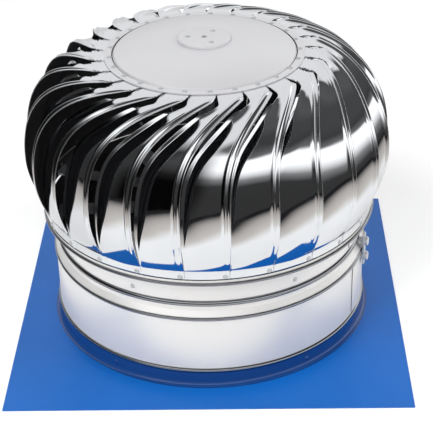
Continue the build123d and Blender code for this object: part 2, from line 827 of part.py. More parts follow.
blank = vane_sheet()
with BuildPart() as vane:
    add(blank)
    with BuildSketch(Plane.XY.offset(flap_trim_bottom)):
        with BuildLine():
            Polyline(
                polar(flap_trim_inner, flap_right_angle, 0)[:2],
                polar(flap_radius, flap_right_angle, 0)[:2],
                polar(flap_cut_radius, flap_cut_angle, 0)[:2],
                polar(flap_cut_radius, flap_right_angle + flap_trim_angle, 0)[:2],
                polar(flap_trim_inner, flap_right_angle + flap_trim_angle, 0)[:2],
                close=True,
            )
        make_face()
        with BuildLine():
            Polyline(
                polar(flap_trim_inner, flap_left_angle, 0)[:2],
                polar(flap_notch_radius, flap_left_angle, 0)[:2],
                polar(flap_notch_radius + flap_notch_run, flap_left_angle - flap_notch_lean, 0)[:2],
                polar(flap_notch_radius, flap_left_angle - flap_trim_angle, 0)[:2],
                polar(flap_trim_inner, flap_left_angle - flap_trim_angle, 0)[:2],
                close=True,
            )
        make_face()
    extrude(amount=flap_trim_top - flap_trim_bottom, mode=Mode.SUBTRACT)
    rivet_holes([polar(top_rivet_circle, top_rivet_offset, rim_top)])
    rivet_holes([outward(tab_radius, ring_rivet_offset, ring_rivet_height)])
for number, turn in enumerate(vane_turns):
    write(turned(vane.part, turn), f"vane_{number + 1:02d}")
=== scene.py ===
from math import acos, atan, cos, degrees, hypot, pi, radians, sin
from types import SimpleNamespace

import bmesh
import bpy
from bpy.props import FloatProperty, FloatVectorProperty, IntProperty, PointerProperty
from mathutils import Matrix, Vector


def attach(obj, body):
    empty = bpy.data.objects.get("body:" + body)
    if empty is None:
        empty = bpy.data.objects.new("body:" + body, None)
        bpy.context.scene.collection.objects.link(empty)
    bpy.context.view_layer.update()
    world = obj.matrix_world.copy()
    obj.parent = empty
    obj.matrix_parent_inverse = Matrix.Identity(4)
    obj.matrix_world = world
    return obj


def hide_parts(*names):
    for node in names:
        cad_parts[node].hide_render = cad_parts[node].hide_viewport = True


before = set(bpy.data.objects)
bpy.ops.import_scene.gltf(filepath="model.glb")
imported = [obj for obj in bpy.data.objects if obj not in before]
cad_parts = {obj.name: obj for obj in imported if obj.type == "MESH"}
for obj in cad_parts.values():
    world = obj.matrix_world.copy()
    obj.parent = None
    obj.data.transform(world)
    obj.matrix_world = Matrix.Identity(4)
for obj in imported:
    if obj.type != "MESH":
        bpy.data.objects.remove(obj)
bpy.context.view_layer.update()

bl_info = {
    "name": "Chimney cowl",
    "version": (1, 0, 0),
    "blender": (4, 5, 0),
    "location": "View3D > Sidebar > Cowl",
    "description": "Dresses the solids of a wind-driven chimney cowl",
    "category": "Object",
}

MM = 0.001

# Settings are kept in metres and radians, and used in millimetres and degrees
UNIT_SCALES = {"LENGTH": 1 / MM, "ROTATION": degrees(1)}

# Steps of the round forms
ROUND_STEPS = 288
BEAD_STEPS = 10
BEND_STEPS = 8
DOME_STEPS = 14
EDGE_STEPS = 4
SEAM_STEPS = 6

# Angles from which an edge is drawn sharp
SHARP = radians(28)
SHARP_DOME = radians(20)
SHARP_VANE = radians(60)

# Rise above its wall, in millimetres, from which a bead's face takes the darker bead steel: painted shade
# and painted dark reflection along the beads
BEAD_SHADE_RISE = 0.25


# Settings


def length_setting(name, description, millimetres):
    """Length, given in millimetres and kept in metres."""
    return FloatProperty(name=name, description=description, default=millimetres * MM, unit="LENGTH")


def angle_setting(name, description, turn):
    """Angle, given in degrees and kept in radians."""
    return FloatProperty(name=name, description=description, default=radians(turn), subtype="ANGLE")


def number_setting(name, description, default):
    """Number without a unit."""
    return FloatProperty(name=name, description=description, default=default)


def hex_colour(text):
    """sRGB hex to linear RGBA."""
    parts = [int(text[i : i + 2], 16) / 255 for i in (1, 3, 5)]
    return tuple(v / 12.92 if v <= 0.04045 else ((v + 0.055) / 1.055) ** 2.4 for v in parts) + (1.0,)


def colour_setting(name, text):
    """Base colour of a finish, given in sRGB hex and kept linear."""
    return FloatVectorProperty(
        name=name,
        description=f"Base colour of {name.lower()}",
        subtype="COLOR",
        size=4,
        default=hex_colour(text),
    )


class CowlSizes(bpy.types.PropertyGroup):
    """Sizes of the sheet-metal pieces."""

    plate_side: length_setting("Plate side", "Side of the flashing plate", 500.0)
    plate_thickness: length_setting("Plate sheet", "Sheet of the flashing plate", 1.2)
    upstand_height: length_setting("Upstand", "Height of the plate's round upstand", 20.0)
    upstand_bend: length_setting("Upstand bend", "Radius of the upstand's bend", 6.0)
    slip_fit: length_setting("Slip fit", "Room between sheets that slide into each other", 0.15)
    throat_radius: length_setting("Throat radius", "Outside of the lower pipe", 203.0)
    throat_wall: length_setting("Throat sheet", "Sheet of the pipe and collar", 0.8)
    pipe_top: length_setting("Pipe top", "Height of the pipe's hemmed edge", 102.0)
    stop_width: length_setting("Stop bead width", "Width of the bead above the upstand", 6.0)
    stop_rise: length_setting("Stop bead rise", "Rise of the bead above the upstand", 2.6)
    hem_width: length_setting("Hem width", "Width of the pipe's hem", 5.0)
    hem_rise: length_setting("Hem rise", "Rise of the pipe's hem", 2.0)
    collar_radius: length_setting("Collar radius", "Outside of the collar", 197.0)
    collar_top: length_setting("Collar top", "Height of the collar's straight wall", 151.0)
    collar_overlap: length_setting("Collar overlap", "Length of the collar inside the pipe", 18.0)
    swage_rise: length_setting("Swage rise", "Height over which the collar narrows", 6.0)
    collar_bead: length_setting("Collar bead", "Height of the collar's bead", 118.5)
    collar_bead_width: length_setting("Collar bead width", "Width of the collar's bead", 8.0)
    collar_bead_rise: length_setting("Collar bead rise", "Rise of the collar's bead", 3.2)
    lip_foot: length_setting("Lip foot", "How far below the collar's top its lip starts", 1.0)
    lip_reach: length_setting("Lip reach", "Flare of the collar's lip inside the ring", 11.0)
    lip_rise: length_setting("Lip rise", "Rise of the lip above the collar's top", 4.4)
    seam_azimuth: angle_setting("Seam azimuth", "Where the lap seams lie, from the front", 64.5)
    seam_width: length_setting("Seam width", "Width of a lap seam", 12.0)
    seam_rise: length_setting("Seam rise", "Rise of a lap seam above its wall", 0.8)
    seam_sink: length_setting("Seam sink", "Depth of a lap seam in its wall", 0.4)
    seam_margin: length_setting("Seam margin", "Room between a lap seam and a bead", 2.0)
    ring_radius: length_setting("Ring radius", "Outside of the rotor's foot ring", 212.1)
    ring_sheet: length_setting("Ring sheet", "Sheet of the foot ring", 1.0)
    ring_bottom: length_setting("Ring bottom", "Lower edge of the foot ring", 154.0)
    ring_top: length_setting("Ring top", "Upper edge of the foot ring", 175.0)
    ring_hem_width: length_setting("Ring hem width", "Width of the foot ring's hem", 4.0)
    ring_hem_rise: length_setting("Ring hem rise", "Rise of the foot ring's hem", 2.6)
    rim_radius: length_setting("Rim radius", "Outside of the rotor's top plate", 124.2)
    rim_top: length_setting("Rim top", "Height of the top plate's rim", 361.0)
    top_sheet: length_setting("Top sheet", "Sheet of the top plate", 1.2)
    step_radius: length_setting("Step radius", "Middle of the step from rim to dome", 112.5)
    step_run: length_setting("Step run", "Width of the step", 2.0)
    step_rise: length_setting("Step rise", "Height of the step", 1.4)
    groove_depth: length_setting("Groove depth", "Depth of the groove at the step's foot", 0.8)
    groove_floor: length_setting("Groove floor", "Width of the groove's floor", 0.9)
    groove_slope: length_setting("Groove slope", "Width of the groove's outer slope", 0.5)
    dome_rise: length_setting("Dome rise", "Height of the dome above its step", 14.0)
    hub_flat: length_setting("Hub flat", "Radius of the dome's flat middle", 34.0)
    hub_seat: length_setting("Hub seat", "Room between dome and hub cap", 0.1)
    hub_radius: length_setting("Hub radius", "Outside of the hub cap", 32.5)
    hub_thickness: length_setting("Hub thickness", "Thickness of the hub cap", 3.0)
    hub_edge: length_setting("Hub edge", "Radius of the hub cap's rounded edge", 1.0)
    hub_hole: length_setting("Hub hole", "Radius of the hub's middle hole", 3.5)


class CowlVane(bpy.types.PropertyGroup):
    """Sizes of one swept vane."""

    count: IntProperty(name="Vanes", description="Vanes round the rotor", default=25)
    azimuth: angle_setting("First vane", "Azimuth of the first lip below the equator", 7.8)
    thickness: length_setting("Sheet", "Sheet of a vane", 0.8)
    equator_radius: length_setting("Equator radius", "Widest radius of the rotor", 231.8)
    equator_height: length_setting("Equator height", "Height of the widest point", 238.7)
    curve_power: number_setting("Curve power", "Fullness of the shoulder", 2.18)
    flap_inner: length_setting("Flap inner radius", "Inner end of the top flap", 107.0)
    flap_overhang: length_setting("Flap overhang", "Flat run of the flap past the rim", 1.8)
    flap_clearance: length_setting("Flap clearance", "Room between flap and rim", 0.1)
    flap_reach: length_setting("Flap reach", "Run past the flap on which the flat stays level", 22.0)
    flap_right: angle_setting("Flap right side", "Azimuth of the flap's right cut", 28.2)
    flap_lean: angle_setting("Flap cut lean", "Lean of the right cut", 3.1)
    flap_cut_radius: length_setting("Flap cut radius", "Outer end of the right cut", 149.0)
    flap_gap: angle_setting("Flap gap", "Gap between neighbouring flaps", 0.3)
    flap_spread: length_setting("Flap spread", "Extra width at the flap's inner end", 40.0)
    spread_radius: length_setting("Spread radius", "Where the extra width sets in", 160.0)
    notch_start: length_setting("Notch start", "Where the flap's left cut turns outward", 150.0)
    notch_end: length_setting("Notch end", "Outer end of the left cut", 162.0)
    notch_turn: angle_setting("Notch turn", "Turn of the left cut at its outer end", 7.0)
    bend_height: length_setting("Bend height", "Where the skirt turns into the tab", 177.0)
    bend_flare: length_setting("Bend flare", "Flare of the sheet at the bend", 1.7)
    bend_foot: length_setting("Bend foot", "Lower end of the bend", 171.0)
    tab_bottom: length_setting("Tab bottom", "Lower end of the tab", 162.0)
    tab_clearance: length_setting("Tab clearance", "Room between tab and ring", 0.2)
    swirl_angle: angle_setting("Swirl", "Sweep of the lip at the flap", 36.5)
    swirl_power: number_setting("Swirl power", "How late the sweep sets in", 1.55)
    rib_width: length_setting("Rib width", "Width of the rolled rib along the lip", 11.0)
    rib_height: length_setting("Rib height", "Height of the rib", 3.5)
    rib_run_out: length_setting("Rib run-out", "Height over which the rib fades", 60.0)
    crest_start: length_setting("Crest start", "Run past the flap where the rib sets in", 8.0)
    crest_end: length_setting("Crest end", "Run past the flap where the rib is full", 20.0)
    louvre_depth: length_setting("Louvre depth", "Drop of the flat's far edge", 15.0)
    louvre_run: length_setting("Louvre run", "Run from the level flat to the full depth", 57.0)
    louvre_top: length_setting("Louvre top", "Height of the louvre's full depth", 300.0)
    louvre_gap: length_setting("Louvre gap", "Opening to the next lip", 5.0)
    end_gap: length_setting("End gap", "Opening at both ends", 0.4)
    foot_gap: length_setting("Foot gap", "Extra opening at the foot", 1.2)
    least_flat: length_setting("Least flat", "Least width of the flat beside the rib", 2.0)
    flange_width: length_setting("Flange width", "Width of the far edge's flange", 4.6)
    flange_end: length_setting("Flange end", "Width of the flange at both ends", 1.2)
    flange_rise: length_setting("Flange rise", "Rise of the far edge's flange", 1.8)


class CowlFinish(bpy.types.PropertyGroup):
    """Base colours of the finishes."""

    polished: colour_setting("Polished steel", "#DCDEE1")
    # Darker bead steel: painted shade and painted dark reflection along the beads
    rolled: colour_setting("Bead steel with painted shade", "#96989C")
    satin: colour_setting("Satin steel", "#D6D5D4")
    filmed: colour_setting("Filmed steel", "#CFCFD2")
    blue: colour_setting("Blue coating", "#0E5FB2")
    # Blue coating darkened for the upstand: painted shade and painted dark reflection
    navy: colour_setting("Upstand coating with painted shade", "#133A74")
    # Dark mill steel: the unpolished side, darkened as painted shade for the inside and the dome's groove
    mill: colour_setting("Mill steel with painted shade", "#48484A")
    zinc: colour_setting("Zinc plate", "#CDD0D4")
    rivet: colour_setting("Rivet aluminium", "#B8BABC")
    bearing: colour_setting("Bearing steel", "#C3C6CA")
    floor: colour_setting("Floor", "#F4F4F4")


def values(group):
    """Settings of a group, with lengths in millimetres and angles in degrees."""
    read = SimpleNamespace()
    for key in type(group).__annotations__:
        scale = UNIT_SCALES.get(group.bl_rna.properties[key].unit, 1)
        setattr(read, key, getattr(group, key) * scale)
    return read


def sizes():
    return values(bpy.context.scene.cowl_sizes)


def vane_sizes():
    return values(bpy.context.scene.cowl_vane)


def finishes():
    return bpy.context.scene.cowl_finish


# Geometry helpers


def polar(radius, azimuth, height):
    """Point in metres at a radius and an azimuth in degrees from the front."""
    turn = radians(azimuth)
    return Vector((radius * sin(turn), -radius * cos(turn), height)) * MM


def clamp(value):
    """Value held between 0 and 1."""
    return min(max(value, 0), 1)


def ease(start, end, value):
    """Smooth step from 0 at the start to 1 at the end."""
    share = clamp((value - start) / (end - start))
    return share * share * (3 - 2 * share)


def bead(radius, middle, width, rise):
    """Section of a half-round bead, from its lower to its upper foot."""
    bow = (width * width / 4 + rise * rise) / (2 * rise)
    half = acos((bow - rise) / bow)
    turns = [half * (2 * i / BEAD_STEPS - 1) for i in range(BEAD_STEPS + 1)]
    return [(radius + rise - bow + bow * cos(t), middle + bow * sin(t)) for t in turns]


def walled(line, wall):
    """Closed section of a sheet from its outer line, thickened towards the axis."""
    return line + [(r - wall, z) for r, z in reversed(line)]


def lathe(shape, section, arc=2 * pi, steps=ROUND_STEPS, start=0.0):
    """Spins a closed section of (radius, height) points round the axis into a bmesh."""
    place = Matrix.Rotation(radians(start - 90), 3, "Z")
    ring = [shape.verts.new(place @ Vector((r, 0, z)) * MM) for r, z in section]
    loop = [shape.edges.new((a, b)) for a, b in zip(ring, ring[1:] + ring[:1])]
    full = arc >= 2 * pi
    bmesh.ops.spin(
        shape,
        geom=ring + loop,
        cent=(0, 0, 0),
        axis=(0, 0, 1),
        dvec=(0, 0, 0),
        angle=arc,
        steps=steps,
        use_merge=full,
        use_duplicate=False,
    )
    if not full:
        open_edges = [e for e in shape.edges if e.is_boundary]
        bmesh.ops.holes_fill(shape, edges=open_edges, sides=0)
    bmesh.ops.recalc_face_normals(shape, faces=shape.faces)


def finish_piece(name, shape, material, body, nodes, sharp=SHARP):
    """Turns a bmesh into a piece that rides on a body and stands for its CAD nodes."""
    mesh = bpy.data.meshes.new(name)
    shape.to_mesh(mesh)
    shape.free()
    for face in mesh.polygons:
        face.use_smooth = True
    mesh.set_sharp_from_angle(angle=sharp)
    mesh.materials.append(material)
    piece = bpy.data.objects.new(name, mesh)
    bpy.context.scene.collection.objects.link(piece)
    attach(piece, body)
    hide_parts(*nodes)
    return piece


def second_finish(piece, material, chosen):
    """Gives a piece's faces whose middle, in millimetres, is chosen another material."""
    number = len(piece.data.materials)
    piece.data.materials.append(material)
    for face in piece.data.polygons:
        if chosen(face.center / MM):
            face.material_index = number


def dull_shaded_inside(piece):
    """Gives the side of a sheet that faces the axis its unpolished finish, darkened as painted shade for the
    inside.
    """
    number = len(piece.data.materials)
    piece.data.materials.append(shared(dull_shaded_steel))
    for face in piece.data.polygons:
        if face.normal.xy.dot(face.center.xy) < 0:
            face.material_index = number


# Node helpers

# Share of a noise texture's range in which nearly all of its values lie
NOISE_LOW = 0.3
NOISE_HIGH = 0.7

# Place of the colour among the outputs of a mix node
MIX_COLOUR = 2


def add_node(tree, kind, inputs=None, **settings):
    """One node with its settings; inputs maps a socket to a value or to another node's output."""
    made = tree.nodes.new(kind)
    for key, value in settings.items():
        setattr(made, key, value)
    for socket, value in (inputs or {}).items():
        if isinstance(value, bpy.types.NodeSocket):
            tree.links.new(value, made.inputs[socket])
        else:
            made.inputs[socket].default_value = value
    return made


def noise(tree, place, width, detail):
    """Noise with features of a width in millimetres."""
    inputs = {"Vector": place, "Scale": 1 / (width * MM), "Detail": detail}
    return add_node(tree, "ShaderNodeTexNoise", inputs).outputs["Fac"]


def remap(tree, value, start, end, low=0.0, high=1.0):
    """Value moved from the range start to end into the range low to high."""
    inputs = {"Value": value, "From Min": start, "From Max": end, "To Min": low, "To Max": high}
    return add_node(tree, "ShaderNodeMapRange", inputs).outputs["Result"]


def blend(tree, factor, low, high):
    """Colour between two colours."""
    inputs = {"Factor": factor, "A": low, "B": high}
    return add_node(tree, "ShaderNodeMix", inputs, data_type="RGBA").outputs[MIX_COLOUR]


def combine(tree, operation, first, second):
    """Result of a sum or product of two values."""
    return add_node(tree, "ShaderNodeMath", {0: first, 1: second}, operation=operation).outputs["Value"]


def relief(tree, height, strength, depth, normal=None):
    """Normal of a bump with a depth in millimetres, laid over an earlier normal."""
    inputs = {"Height": height, "Strength": strength, "Distance": depth * MM}
    if normal:
        inputs["Normal"] = normal
    return add_node(tree, "ShaderNodeBump", inputs).outputs["Normal"]


def ramp(tree, factor, stops):
    """Colour ramp over stops of (position, colour)."""
    made = add_node(tree, "ShaderNodeValToRGB", {"Fac": factor})
    elements = made.color_ramp.elements
    for position, _ in stops[1:-1]:
        elements.new(position)
    for element, (position, colour) in zip(elements, stops):
        element.position = position
        element.color = colour
    return made.outputs["Color"]


# Materials


def new_material(name):
    """Empty node material with its tree, surface shader and object coordinates."""
    material = bpy.data.materials.new(name)
    material.use_nodes = True
    tree = material.node_tree
    tree.nodes.clear()
    shader = add_node(tree, "ShaderNodeBsdfPrincipled")
    add_node(tree, "ShaderNodeOutputMaterial", {"Surface": shader.outputs["BSDF"]})
    place = add_node(tree, "ShaderNodeTexCoord").outputs["Object"]
    return material, tree, shader, place


def darker(colour, share):
    """Colour at a share of its brightness."""
    return tuple(v * share for v in colour[:3]) + (1.0,)


def metal(name, colour, rough, cloud, grain=None, wave=None, dark=0.9, bare=1.0):
    """Metal with tone clouds, uneven roughness, and optional rolling lines and waviness.

    rough is the range of roughness, cloud the width of the clouds in millimetres, dark the tone
    of their dark side and bare how metallic the surface is. grain is (stretch, width, strength,
    depth) and wave is (width, strength, depth), with widths and depths in millimetres.
    """
    material, tree, shader, place = new_material(name)
    shader.inputs["Metallic"].default_value = bare
    clouds = noise(tree, place, cloud, 4.0)
    tree.links.new(remap(tree, clouds, NOISE_LOW, NOISE_HIGH, *rough), shader.inputs["Roughness"])
    tone = blend(tree, clouds, darker(colour, dark), tuple(colour))
    tree.links.new(tone, shader.inputs["Base Color"])
    normal = None
    if grain:
        stretch, width, strength, depth = grain
        along = add_node(tree, "ShaderNodeMapping", {"Vector": place, "Scale": stretch})
        hair = noise(tree, along.outputs["Vector"], width, 2.0)
        normal = relief(tree, hair, strength, depth)
    if wave:
        width, strength, depth = wave
        swell = noise(tree, place, width, 1.0)
        normal = relief(tree, swell, strength, depth, normal)
    if normal:
        tree.links.new(normal, shader.inputs["Normal"])
    return material


def polished_steel():
    """Mirror-rolled stainless sheet: crisp reflections that swim a little with the sheet."""
    wave = (38, 0.25, 0.5)
    return metal("polished_stainless", finishes().polished, rough=(0.035, 0.09), cloud=26, wave=wave)


def bead_shade_steel():
    """Glossy stainless on the beads, darker than the sheet beside it: the same steel, with painted shade and
    painted dark reflection along the beads.
    """
    return metal("bead_painted_shade_stainless", finishes().rolled, rough=(0.05, 0.1), cloud=12)


def satin_steel():
    """Cold-rolled stainless sheet: soft reflections with faint lines along the rolling."""
    return metal(
        "satin_stainless",
        finishes().satin,
        rough=(0.3, 0.4),
        cloud=60,
        grain=((0.05, 0.05, 1.0), 1.4, 0.05, 0.03),
        wave=(70, 0.15, 0.5),
        bare=0.35,
    )


def filmed_steel():
    """Stainless sheet under its milky protective film: even pale grey with a soft sheen."""
    return metal(
        "filmed_stainless",
        finishes().filmed,
        rough=(0.38, 0.5),
        cloud=45,
        wave=(90, 0.15, 0.5),
        dark=0.94,
        bare=0.4,
    )


def dull_shaded_steel():
    """Unpolished mill side of the sheet, towards the flue: dull, and darker than bare mill steel as painted
    shade for the inside; in the dome's groove it is painted shade alone.
    """
    return metal("mill_side_and_painted_shade_stainless", finishes().mill, rough=(0.5, 0.65), cloud=20, dark=0.8, bare=0.6)


def zinc_plate():
    """Zinc-plated mild steel: cool grey, cloudy, half matt."""
    return metal("zinc_plated_steel", finishes().zinc, rough=(0.3, 0.45), cloud=8, dark=0.8, bare=0.6)


def rivet_metal():
    """Drawn aluminium rivets: pale and fairly bright."""
    return metal("rivet_aluminium", finishes().rivet, rough=(0.3, 0.42), cloud=3, bare=0.4)


def bearing_metal():
    """Ground bearing steel: bright and a little blue."""
    return metal("ground_bearing_steel", finishes().bearing, rough=(0.1, 0.18), cloud=4)


def coil_coating(name, colour, rough, gloss):
    """Coil coating on steel: slow changes of tone under a fine orange-peel gloss."""
    material, tree, shader, place = new_material(name)
    shader.inputs["Specular IOR Level"].default_value = gloss
    clouds = noise(tree, place, width=90, detail=3.0)
    tone = blend(tree, clouds, darker(colour, 0.86), tuple(colour))
    tree.links.new(tone, shader.inputs["Base Color"])
    peel = noise(tree, place, width=2.5, detail=2.0)
    tree.links.new(remap(tree, peel, NOISE_LOW, NOISE_HIGH, *rough), shader.inputs["Roughness"])
    tree.links.new(relief(tree, peel, strength=0.1, depth=0.05), shader.inputs["Normal"])
    return material


def blue_coating():
    """Bright blue coating on the flat of the plate."""
    return coil_coating("blue_coil_coating", finishes().blue, rough=(0.32, 0.44), gloss=0.3)


def upstand_shade_coating():
    """Glossy copy of the plate's blue coating, darkened to navy on the drawn upstand: painted shade and
    painted dark reflection on the vertical wall.
    """
    return coil_coating("upstand_painted_shade_coating", finishes().navy, rough=(0.14, 0.22), gloss=0.5)


MADE = {}


def shared(maker):
    """The material a maker gives, made once."""
    if maker not in MADE:
        MADE[maker] = maker()
    return MADE[maker]


# Vane surface

# Rows down the parts of a vane
FLAP_ROWS = 5
SHOULDER_ROWS = 44
SKIRT_ROWS = 18
BEND_ROWS = 4
TAB_ROWS = 3

# Places of the columns across the rib, the flat and the flange
RIB_SHARES = (0, 0.05, 0.11, 0.18, 0.26, 0.34, 0.42, 0.5, 0.58, 0.66, 0.74, 0.82, 0.9, 0.96, 1)
FLAT_SHARES = (0.03, 0.1, 0.22, 0.36, 0.5, 0.64, 0.78, 0.9, 0.97, 1)
FLANGE_SHARES = (0.15, 0.5, 0.85, 1)

# The rib's two rolls: mean height, ripple, first crest and pitch, as shares of the rib
RIB_MEAN = 0.72
RIB_RIPPLE = 0.28
RIB_CREST = 0.05
RIB_PITCH = 0.62

# Shares of the way from flap to tab: where the flange widens, narrows and rises, and the foot
FLANGE_WIDENS = (0.05, 0.2)
FLANGE_NARROWS = (0.75, 1)
FLANGE_RISES = (0, 0.05)
FOOT = (0.8, 1)

# Power that moves the widest opening up towards the flap
GAP_BIAS = 0.42

# Lengths below which points are merged and edges dissolved
MERGE = 0.05 * MM
SLIVER = 0.02 * MM


def vane_profile(v, s):
    """Radius and height down a vane: flap, shoulder, skirt, bend and tab."""
    flap = s.rim_radius + v.flap_overhang
    crown = s.rim_top - s.top_sheet - v.flap_clearance + v.rib_height
    tab = s.ring_radius + v.tab_clearance + v.thickness
    line = [(v.flap_inner + (flap - v.flap_inner) * i / FLAP_ROWS, crown) for i in range(FLAP_ROWS)]
    for i in range(SHOULDER_ROWS + 1):
        turn = pi / 2 * i / SHOULDER_ROWS
        reach = sin(turn) ** (2 / v.curve_power)
        rise = max(cos(turn), 0) ** (2 / v.curve_power)
        height = v.equator_height + (crown - v.equator_height) * rise
        line.append((flap + (v.equator_radius - flap) * reach, height))
    for i in range(1, SKIRT_ROWS + 1):
        share = i / SKIRT_ROWS
        radius = v.equator_radius - (v.equator_radius - tab - v.bend_flare) * share**2
        line.append((radius, v.equator_height + (v.bend_height - v.equator_height) * share))
    for i in range(1, BEND_ROWS + 1):
        share = i / BEND_ROWS
        height = v.bend_height + (v.bend_foot - v.bend_height) * share
        line.append((tab + v.bend_flare * (1 - share) ** 2, height))
    for i in range(1, TAB_ROWS + 1):
        line.append((tab, v.bend_foot + (v.tab_bottom - v.bend_foot) * i / TAB_ROWS))
    return line


def swirl(v, s, radius, height):
    """Degrees by which the lip has swept forward at a point above the equator."""
    if height <= v.equator_height:
        return 0.0
    flap = s.rim_radius + v.flap_overhang
    return v.swirl_angle * max(0, 1 - (radius - flap) / (v.equator_radius - flap)) ** v.swirl_power


def rib_bump(across):
    """Height of the rib's rolls at a share of its width."""
    ripple = RIB_MEAN + RIB_RIPPLE * cos(2 * pi * (across - RIB_CREST) / RIB_PITCH)
    return (1 - across**4) * ripple


def louvre_drop(v, flap, radius, height):
    """Drop of the flat's far edge at a point down the vane."""
    climb = clamp((height - v.bend_height) / (v.louvre_top - v.bend_height))
    drop = v.louvre_depth * sin(pi / 2 * climb)
    if height > v.equator_height:
        level = flap + v.flap_reach
        drop *= ease(level, level + v.louvre_run, radius)
    return drop


def flap_cuts(v, flap, radius, sweep, backs):
    """Distances back from the lip, held between the flap's right and left cuts."""
    if radius < v.flap_cut_radius:
        right = v.flap_right - v.flap_lean * clamp((radius - flap) / (v.flap_cut_radius - flap))
        backs = [max(b, radians(sweep - right) * radius) for b in backs]
    if radius < v.notch_end:
        left = v.flap_right - 360 / v.count + v.flap_gap
        notch = left - v.notch_turn * max(radius - v.notch_start, 0) / (v.notch_end - v.notch_start)
        backs = [min(b, radians(sweep - notch) * radius) for b in backs]
    return backs


def vane_row(v, s, radius, height, lean, share):
    """Sweep of one row's lip, and the distance back and the depth of each point of the row."""
    flap = s.rim_radius + v.flap_overhang
    above = height > v.equator_height
    stretch = 1 / cos(lean)
    rib = v.rib_height * ease(v.bend_height, v.bend_height + v.rib_run_out, height)
    drop = louvre_drop(v, flap, radius, height)
    gap = v.louvre_gap * sin(pi * share**GAP_BIAS) + v.end_gap + v.foot_gap * ease(*FOOT, share)
    full = ease(*FLANGE_WIDENS, share) * (1 - ease(*FLANGE_NARROWS, share))
    flange = v.flange_end + (v.flange_width - v.flange_end) * full
    rise = v.flange_rise * flange / v.flange_width * ease(*FLANGE_RISES, share)
    flat = max(2 * pi * radius / v.count * cos(lean) - gap, v.rib_width + v.least_flat)
    spread = 0
    crest = 1
    if above:
        spread = max(0, v.flap_spread * (v.spread_radius - radius) / (v.spread_radius - v.flap_inner))
        crest = ease(flap + v.crest_start, flap + v.crest_end, radius)
    rib_end = v.rib_width * stretch
    flat_end = flat * stretch
    edge = flat_end + flange * stretch + spread

    def depth_at(back):
        if back < rib_end:
            return rib * (1 - crest * rib_bump(back / rib_end))
        if back < flat_end:
            return rib + drop * (back - rib_end) / (flat_end - rib_end)
        return rib + drop - rise * (back - flat_end) / (edge - flat_end)

    backs = [f * rib_end for f in RIB_SHARES]
    backs += [rib_end + (flat_end - rib_end) * f for f in FLAT_SHARES]
    backs += [flat_end + (edge - flat_end) * f for f in FLANGE_SHARES]
    sweep = swirl(v, s, radius, height)
    if above:
        backs = flap_cuts(v, flap, radius, sweep, backs)
    return sweep, [(b, depth_at(b)) for b in backs]


def vane_sheet(v, s, turn):
    """Bmesh of one vane's outer skin: a grid laid onto the swept, louvred surface."""
    line = vane_profile(v, s)
    last = len(line) - 1
    arc = [0]
    for a, b in zip(line, line[1:]):
        arc.append(arc[-1] + hypot(b[0] - a[0], b[1] - a[1]))
    flap_end = arc[FLAP_ROWS]
    tab_start = arc[last - BEND_ROWS - TAB_ROWS]
    columns = len(RIB_SHARES) + len(FLAT_SHARES) + len(FLANGE_SHARES)
    shape = bmesh.new()
    bmesh.ops.create_grid(shape, x_segments=columns - 1, y_segments=last, size=1)
    shape.verts.ensure_lookup_table()
    for k, (radius, height) in enumerate(line):
        a = max(k - 1, 0)
        b = min(k + 1, last)
        run = hypot(line[b][0] - line[a][0], line[b][1] - line[a][1])
        out = (line[a][1] - line[b][1]) / run
        up = (line[b][0] - line[a][0]) / run
        if k <= FLAP_ROWS:
            out = 0.0
            up = 1.0
        turned = radians(swirl(v, s, *line[a]) - swirl(v, s, *line[b]))
        lean = atan(radius * turned / (arc[b] - arc[a]))
        share = clamp((arc[k] - flap_end) / (tab_start - flap_end))
        sweep, row = vane_row(v, s, radius, height, lean, share)
        for j, (back, depth) in enumerate(row):
            azimuth = turn + sweep - degrees(back / radius)
            shape.verts[k * columns + j].co = polar(radius - out * depth, azimuth, height - up * depth)
    bmesh.ops.remove_doubles(shape, verts=shape.verts, dist=MERGE)
    bmesh.ops.dissolve_degenerate(shape, edges=shape.edges, dist=SLIVER)
    shape.normal_update()
    outward = sum(face.normal.xy.dot(face.calc_center_median().xy) for face in shape.faces)
    if outward < 0:
        bmesh.ops.reverse_faces(shape, faces=shape.faces)
    return shape


# Operators


class COWL_OT_flashing(bpy.types.Operator):
    """Square flashing plate with its round upstand."""

    bl_idname = "cowl.flashing"
    bl_label = "Flashing plate"

    def execute(self, context):
        s = sizes()
        half = s.plate_side / 2
        sheet = s.plate_thickness
        bend = s.upstand_bend
        inner = s.throat_radius + s.slip_fit
        outer = inner + sheet
        bend_radius = outer + bend
        bend_height = sheet + bend
        top_line = [(half, sheet)]
        bottom_line = [(half, 0)]
        for i in range(BEND_STEPS + 1):
            turn = pi / 2 * i / BEND_STEPS
            wide = bend + sheet
            top_line.append((bend_radius - bend * sin(turn), bend_height - bend * cos(turn)))
            bottom_line.append((bend_radius - wide * sin(turn), bend_height - wide * cos(turn)))
        top_line.append((outer, s.upstand_height))
        bottom_line.append((inner, s.upstand_height))
        shape = bmesh.new()
        lathe(shape, top_line + bottom_line[::-1])
        # The spun disc's edge, outside the bend, is pushed out to the square.
        for vert in shape.verts:
            if vert.co.xy.length > (bend_radius + bend) * MM:
                vert.co.xy *= half * MM / max(abs(vert.co.x), abs(vert.co.y))
        blue = shared(blue_coating)
        piece = finish_piece("flashing_plate", shape, blue, "base", ["base_plate"])
        # The upstand and its bend take the darkened copy of the coating: painted shade on the vertical wall
        second_finish(piece, shared(upstand_shade_coating), lambda spot: spot.xy.length < bend_radius)
        return {"FINISHED"}


